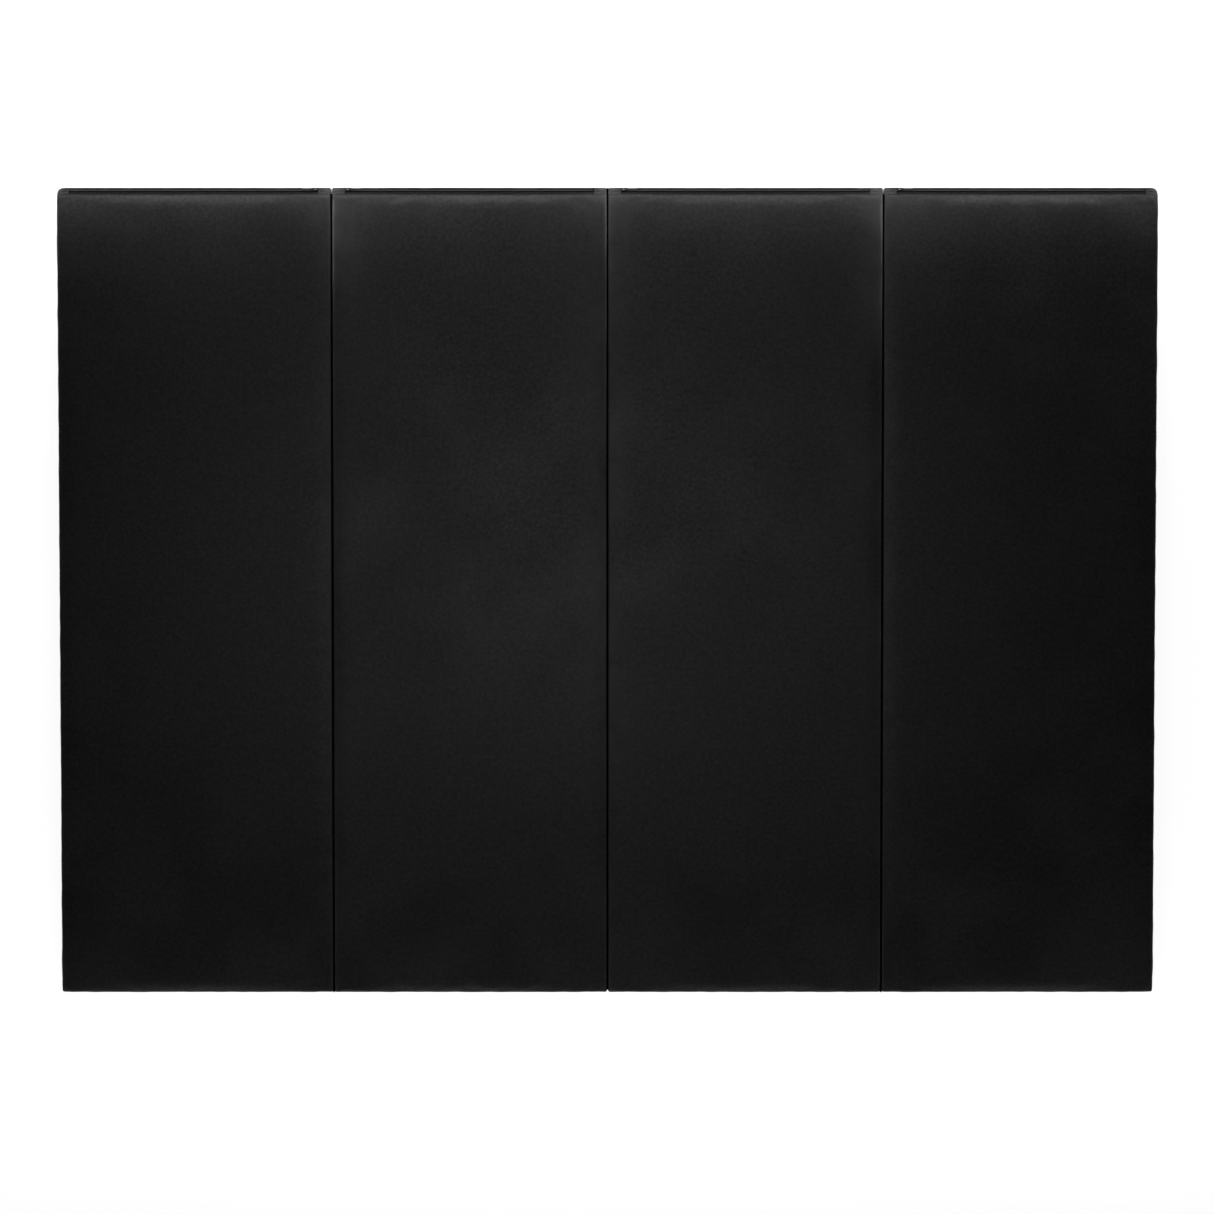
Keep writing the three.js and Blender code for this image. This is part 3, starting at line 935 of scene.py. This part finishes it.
def fit_zip(n, sheets):
    """Tape, chain and hem stitching of a panel's zip."""
    low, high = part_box(f"zip_tape_{n}")
    tape = place(zip_tape(n), f"panel_{n}", "zip_tape", f"zip_tape_{n}")
    teeth = [place(row, f"panel_{n}", "zip_tape") for row in zip_teeth(n)]
    lower = hem_stitches(n, f"hem_stitches_lower_{n}", low.z - HEM_TO_STITCH, sheets[ZIP_LOWER])
    upper = hem_stitches(n, f"hem_stitches_upper_{n}", high.z + HEM_TO_STITCH, sheets[ZIP_UPPER])
    for row in (lower, upper):
        place(row, f"panel_{n}", "zip_tape")


def finish_metal(n):
    """Keeps the CAD slider and pull, with softened edges and their own metal."""
    for node in (f"zip_slider_{n}", f"zip_pull_{n}"):
        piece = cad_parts[node]
        piece.data.materials.clear()
        piece.data.materials.append(METAL)
        bevel = piece.modifiers.new("soft_edges", "BEVEL")
        bevel.width = METAL_EDGE
        bevel.segments = 2
        bevel.limit_method = "ANGLE"
        bevel.angle_limit = SHARP


# ---- hinges -------------------------------------------------------------------------------------

RIBBON_THICKNESS = 0.8 * MM
RIBBON_DEPTH = 3.4 * MM  # how far in its bridge lies from the plane that it folds in
RIBBON_FLANGE = 12 * MM
RIBBON_HALF = 1.5 * MM
RIBBON_SLACK = 0.15 * MM
LOW_RIBBON_OVERHANG = 5.0 * MM  # the underside's ribbon runs past its CAD leaves, where the walls lean out
RIBBON_ROWS = 90
BRIDGE_STEPS = 10


def ribbon_profile():
    """The ribbon's section as (x, depth): down one wall, a shallow bridge and down the other wall."""
    arc = [math.pi * i / BRIDGE_STEPS for i in range(BRIDGE_STEPS + 1)]
    bridge = [(-RIBBON_HALF * math.cos(a), RIBBON_DEPTH + RIBBON_HALF * (1 - math.sin(a))) for a in arc]
    flange = [RIBBON_FLANGE, RIBBON_FLANGE * 0.75, RIBBON_FLANGE * 0.5]
    left = [(-RIBBON_HALF, depth) for depth in flange]
    right = [(RIBBON_HALF, depth) for depth in reversed(flange)]
    return left + bridge + right


def hinge(s):
    """The webbing strip sewn into both panels at a seam."""
    left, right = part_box(f"hinge_{s}_left_leaf"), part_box(f"hinge_{s}_right_leaf")
    seam = (left[1].x + right[0].x) / 2
    on_top = left[1].z > panel_box(s)[1].z / 2
    plane = panel_box(s)[1].z if on_top else panel_box(s)[0].z
    inward = -1 if on_top else 1
    profile = ribbon_profile()
    overhang = 0 if on_top else LOW_RIBBON_OVERHANG
    ys = np.linspace(left[0].y - overhang, left[1].y + overhang, RIBBON_ROWS)
    points = np.array([(seam + x, y, plane + inward * depth) for y in ys for x, depth in profile])
    slack = RIBBON_SLACK * noise_at(points, np.array([1.0, 0.05, 1.0]), s)
    points[:, 2] += inward * (RIBBON_SLACK + slack)
    faces = strip_faces(RIBBON_ROWS, len(profile))
    name = f"hinge_ribbon_{s}"
    ribbon = object_of(name, mesh_of(name, points, faces), SLOT_SHADE_WEBBING)
    thicken = ribbon.modifiers.new("thickness", "SOLIDIFY")
    thicken.thickness = RIBBON_THICKNESS
    thicken.offset = 0
    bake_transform(ribbon)
    place(ribbon, None, "hinge_webbing", f"hinge_{s}_left_leaf", f"hinge_{s}_right_leaf")


# ---- studio -------------------------------------------------------------------------------------

CAMERA_TILT = math.radians(13.0)  # from straight down, towards +Y
CAMERA_DISTANCE = 40.0
VIEW_WIDTH = 2.703
SENSOR = 36.0
AIM = Vector((-0.001, -0.0407, 0))  # so that the mat sits in the picture as it does in the photo
FLOOR_SIZE = 60.0


def aim(made, target):
    """Points a light's or camera's -Z at the target, with +Y up in its picture."""
    made.rotation_euler = (Vector(target) - made.location).to_track_quat("-Z", "Y").to_euler()


def add_camera():
    data = bpy.data.cameras.new("camera")
    data.sensor_width = SENSOR
    data.lens = SENSOR * CAMERA_DISTANCE / VIEW_WIDTH
    data.clip_end = 4 * CAMERA_DISTANCE
    camera = object_of("camera", data)
    camera.location = AIM + CAMERA_DISTANCE * Vector((0, math.sin(CAMERA_TILT), math.cos(CAMERA_TILT)))
    camera.rotation_euler = (-CAMERA_TILT, 0, 0)
    bpy.context.scene.camera = camera


def add_light(name, place_at, target, size, power):
    data = bpy.data.lights.new(name, "AREA")
    data.shape = "RECTANGLE"
    data.size, data.size_y = size
    data.energy = power
    light = object_of(name, data)
    light.location = place_at
    aim(light, target)


def add_floor():
    half = FLOOR_SIZE / 2
    corners = [(-half, -half, 0), (half, -half, 0), (half, half, 0), (-half, half, 0)]
    floor = object_of("floor", mesh_of("floor", corners, [(0, 1, 2, 3)]), pale_floor())


OVERHEAD = 0.04  # the sky's brightness above its white horizon
WHITE_UP_TO = 0.04  # the sine of the height where the white ends
DARK_FROM = 0.32  # and of the height where the dark is reached


def add_sky():
    """A white horizon under a dark sky, so that the black faces keep their depth."""
    world = bpy.data.worlds.new("sky")
    bpy.context.scene.world = world
    world.use_nodes = True
    nodes, links = world.node_tree.nodes, world.node_tree.links
    direction = nodes.new("ShaderNodeTexCoord").outputs["Generated"]
    split = nodes.new("ShaderNodeSeparateXYZ")
    ramp = nodes.new("ShaderNodeValToRGB")
    white, dark = ramp.color_ramp.elements
    white.position = WHITE_UP_TO
    white.color = (1, 1, 1, 1)
    dark.position = DARK_FROM
    dark.color = (OVERHEAD, OVERHEAD, OVERHEAD, 1)
    links.new(direction, split.inputs[0])
    links.new(split.outputs["Z"], ramp.inputs[0])
    links.new(ramp.outputs[0], nodes["Background"].inputs["Color"])


SHEEN_AT = (-0.13, 0.2)  # where the softbox shows in the faces
BOX_HEIGHT = 1.8
BOX_SIZE = (1.2, 0.8)
BOX_POWER = 2.6
STRIP_HEIGHT = 0.25
STRIP_LENGTH = 3.0
STRIP_WIDTH = 0.12
FAR_STRIP_POWER = 3.1
NEAR_STRIP_OUT = 0.3
NEAR_STRIP_POWER = 1.5
SIDE_OUT = 3.0
SIDE_HEIGHT = 2.1
SIDE_Y = 0.3
SIDE_SIZE = (0.3, 1.2)
SIDE_POWER = 1.5


def add_strip(name, edge, out, power):
    """A long low lamp over one end of the mat, that far out from its edge."""
    add_light(name, (0, edge + out, STRIP_HEIGHT), (0, edge, 0), (STRIP_LENGTH, STRIP_WIDTH), power)


def light_studio():
    add_floor()
    add_sky()
    x, y = SHEEN_AT
    lean = math.tan(CAMERA_TILT)
    add_light("softbox", (x, y - lean * BOX_HEIGHT, BOX_HEIGHT), (x, y, 0), BOX_SIZE, BOX_POWER)
    near_edge, far_edge = (corner.y for corner in panel_box(1))
    add_strip("far_strip", far_edge, lean * STRIP_HEIGHT, FAR_STRIP_POWER)
    add_strip("near_strip", near_edge, -NEAR_STRIP_OUT, NEAR_STRIP_POWER)
    for side in (-1, 1):
        place_at = (side * SIDE_OUT, SIDE_Y, SIDE_HEIGHT)
        add_light(f"side_{side}", place_at, (0, SIDE_Y, 0), SIDE_SIZE, SIDE_POWER)
    add_camera()
    bpy.context.scene.view_settings.view_transform = "Standard"


# ---- the whole mat ------------------------------------------------------------------------------

VINYL = vinyl("black_vinyl", gloss=0.5, dullness=0.0)
GUSSET_VINYL = vinyl("gusset_vinyl", gloss=0.16, dullness=0.18)
MATTE_VINYL = vinyl("matte_vinyl", gloss=0.01, dullness=0.35, dark=0.008, light=0.024)
SLOT_SHADE_WEBBING = webbing()
ZIP_CLOTH = zip_cloth()
NYLON = zip_nylon()
METAL = slider_metal()
THREAD = thread()
FOAM = closed_cell_foam()

for n in PANELS:
    fill_panel(n)
    sheets = cover_panel(n)
    fit_zip(n, sheets)
    finish_metal(n)
for s in SEAMS:
    hinge(s)
light_studio()
